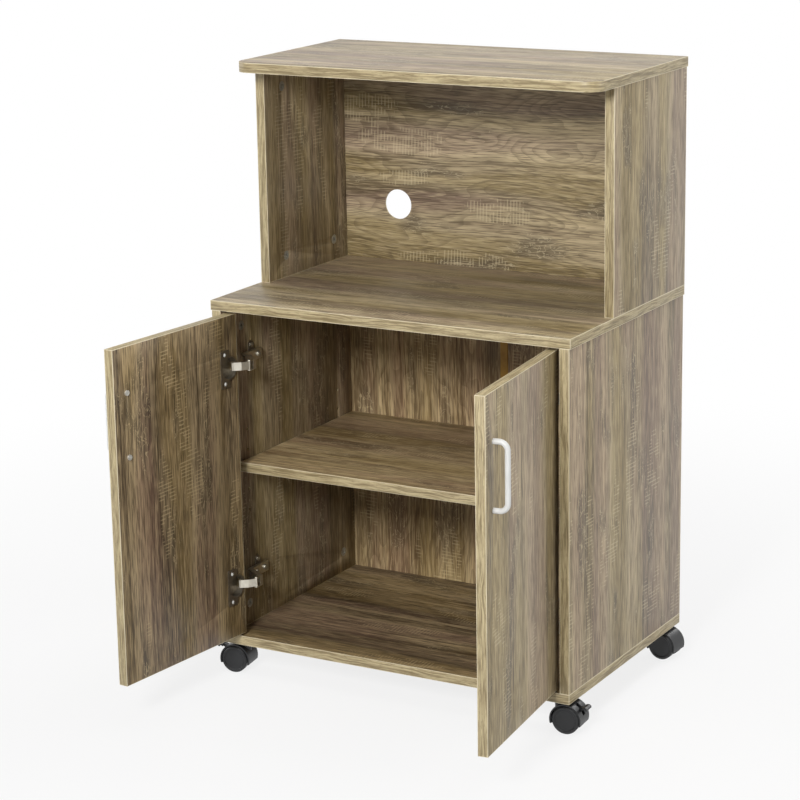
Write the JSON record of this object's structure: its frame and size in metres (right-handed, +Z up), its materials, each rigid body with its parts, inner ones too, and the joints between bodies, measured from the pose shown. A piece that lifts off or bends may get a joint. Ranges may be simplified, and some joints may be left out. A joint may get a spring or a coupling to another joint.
{
  "type": "microwave cart",
  "caption": "Rolling cupboard with two doors, a shelf, a worktop and an open bay under a top board, on swivel casters.",
  "frame": {"origin": "on the floor, under the middle of the footprint with both doors open", "axes": "+X to the cart's right as seen from the front, +Y from front to back, +Z up"},
  "size_m": [0.6542, 0.6733, 0.942],
  "materials": {
    "oak_laminate": "matte laminate",
    "back_board": "matte laminate",
    "joining_strip": "satin",
    "beech": "raw",
    "handle_enamel": "satin",
    "nickel_plate": "plated",
    "zinc": "cast",
    "steel": "plated",
    "caster_plastic": "moulded",
    "wheel_plastic": "moulded"
  },
  "bodies": {
    "cabinet": {"base_board": "oak_laminate", "left_side": "oak_laminate", "right_side": "oak_laminate", "worktop": "oak_laminate", "shelf_pins": "nickel_plate", "back_left": "back_board", "back_right": "back_board", "back_joiner": "joining_strip", "bay_left_side": "oak_laminate", "bay_right_side": "oak_laminate", "bay_back": "back_board", "top_board": "oak_laminate", "cam_locks": "zinc", "cam_bolts": "zinc", "dowels": "beech", "hinge_arms": "nickel_plate", "hinge_plates": "nickel_plate", "plate_screws": "steel", "arm_screws": "zinc", "hinge_pins": "steel", "caster_inserts": "zinc", "caster_stems": "steel"},
    "shelf": {"shelf": "oak_laminate"},
    "left_door": {"left_door": "oak_laminate", "left_handle": "handle_enamel", "left_handle_screws": "steel", "left_hinge_cups": "nickel_plate", "left_cup_screws": "steel"},
    "right_door": {"right_door": "oak_laminate", "right_handle": "handle_enamel", "right_handle_screws": "steel", "right_hinge_cups": "nickel_plate", "right_cup_screws": "steel"},
    "left_hinge_links": {"left_hinge_links": "nickel_plate"},
    "right_hinge_links": {"right_hinge_links": "nickel_plate"},
    "front_left_caster": {"front_left_housing": "caster_plastic", "front_left_axle": "steel", "front_left_brake_pin": "steel"},
    "front_left_wheel_a": {"front_left_wheel_a": "wheel_plastic"},
    "front_left_wheel_b": {"front_left_wheel_b": "wheel_plastic"},
    "front_left_brake": {"front_left_brake": "caster_plastic"},
    "front_right_caster": {"front_right_housing": "caster_plastic", "front_right_axle": "steel", "front_right_brake_pin": "steel"},
    "front_right_wheel_a": {"front_right_wheel_a": "wheel_plastic"},
    "front_right_wheel_b": {"front_right_wheel_b": "wheel_plastic"},
    "front_right_brake": {"front_right_brake": "caster_plastic"},
    "rear_left_caster": {"rear_left_housing": "caster_plastic", "rear_left_axle": "steel"},
    "rear_left_wheel_a": {"rear_left_wheel_a": "wheel_plastic"},
    "rear_left_wheel_b": {"rear_left_wheel_b": "wheel_plastic"},
    "rear_right_caster": {"rear_right_housing": "caster_plastic", "rear_right_axle": "steel"},
    "rear_right_wheel_a": {"rear_right_wheel_a": "wheel_plastic"},
    "rear_right_wheel_b": {"rear_right_wheel_b": "wheel_plastic"}
  },
  "joints": [
    {"name": "left_door_hinge", "type": "hinge", "parent": "cabinet", "child": "left_door", "pos_m": [-0.2738, -0.06236, 0.322], "axis": [0, 0, 1], "range_deg": [-14, 95.9]},
    {"name": "right_door_hinge", "type": "hinge", "parent": "cabinet", "child": "right_door", "pos_m": [0.2738, -0.06236, 0.322], "axis": [0, 0, -1], "range_deg": [-14, 95.9]},
    {"name": "left_link_pivot", "type": "hinge", "parent": "cabinet", "child": "left_hinge_links", "pos_m": [-0.24721, -0.04556, 0.322], "axis": [0, 0, 1], "range_deg": [-32, 5]},
    {"name": "right_link_pivot", "type": "hinge", "parent": "cabinet", "child": "right_hinge_links", "pos_m": [0.24721, -0.04556, 0.322], "axis": [0, 0, -1], "range_deg": [-32, 5]},
    {"name": "shelf_lift", "type": "slide", "parent": "cabinet", "child": "shelf", "axis": [0, 0, 1], "range_m": [0, 0.032]},
    {"name": "front_left_swivel", "type": "hinge", "parent": "cabinet", "child": "front_left_caster", "pos_m": [-0.272, -0.04056, 0.05], "axis": [0, 0, 1], "continuous": true},
    {"name": "front_left_wheel_a_spin", "type": "hinge", "parent": "front_left_caster", "child": "front_left_wheel_a", "pos_m": [-0.28583, -0.04275, 0.021], "axis": [0.1564, -0.9877, 0], "continuous": true},
    {"name": "front_left_wheel_b_spin", "type": "hinge", "parent": "front_left_caster", "child": "front_left_wheel_b", "pos_m": [-0.28583, -0.04275, 0.021], "axis": [0.1564, -0.9877, 0], "continuous": true},
    {"name": "front_left_brake_press", "type": "hinge", "parent": "front_left_caster", "child": "front_left_brake", "pos_m": [-0.30064, -0.0451, 0.034], "axis": [0.1564, -0.9877, 0], "range_deg": [0, 12]},
    {"name": "front_right_swivel", "type": "hinge", "parent": "cabinet", "child": "front_right_caster", "pos_m": [0.272, -0.04056, 0.05], "axis": [0, 0, 1], "continuous": true},
    {"name": "front_right_wheel_a_spin", "type": "hinge", "parent": "front_right_caster", "child": "front_right_wheel_a", "pos_m": [0.28597, -0.03959, 0.021], "axis": [-0.0698, 0.9976, 0], "continuous": true},
    {"name": "front_right_wheel_b_spin", "type": "hinge", "parent": "front_right_caster", "child": "front_right_wheel_b", "pos_m": [0.28597, -0.03959, 0.021], "axis": [-0.0698, 0.9976, 0], "continuous": true},
    {"name": "front_right_brake_press", "type": "hinge", "parent": "front_right_caster", "child": "front_right_brake", "pos_m": [0.30093, -0.03854, 0.034], "axis": [-0.0698, 0.9976, 0], "range_deg": [0, 12]},
    {"name": "rear_left_swivel", "type": "hinge", "parent": "cabinet", "child": "rear_left_caster", "pos_m": [-0.272, 0.30944, 0.05], "axis": [0, 0, 1], "continuous": true},
    {"name": "rear_left_wheel_a_spin", "type": "hinge", "parent": "rear_left_caster", "child": "rear_left_wheel_a", "pos_m": [-0.28516, 0.31422, 0.021], "axis": [-0.342, -0.9397, 0], "continuous": true},
    {"name": "rear_left_wheel_b_spin", "type": "hinge", "parent": "rear_left_caster", "child": "rear_left_wheel_b", "pos_m": [-0.28516, 0.31422, 0.021], "axis": [-0.342, -0.9397, 0], "continuous": true},
    {"name": "rear_right_swivel", "type": "hinge", "parent": "cabinet", "child": "rear_right_caster", "pos_m": [0.272, 0.30944, 0.05], "axis": [0, 0, 1], "continuous": true},
    {"name": "rear_right_wheel_a_spin", "type": "hinge", "parent": "rear_right_caster", "child": "rear_right_wheel_a", "pos_m": [0.28597, 0.30846, 0.021], "axis": [0.0698, 0.9976, 0], "continuous": true},
    {"name": "rear_right_wheel_b_spin", "type": "hinge", "parent": "rear_right_caster", "child": "rear_right_wheel_b", "pos_m": [0.28597, 0.30846, 0.021], "axis": [0.0698, 0.9976, 0], "continuous": true}
  ],
  "couplings": [
    {"joint": "left_link_pivot", "follows": "left_door_hinge", "ratio": -0.32494},
    {"joint": "right_link_pivot", "follows": "right_door_hinge", "ratio": -0.32494}
  ]
}
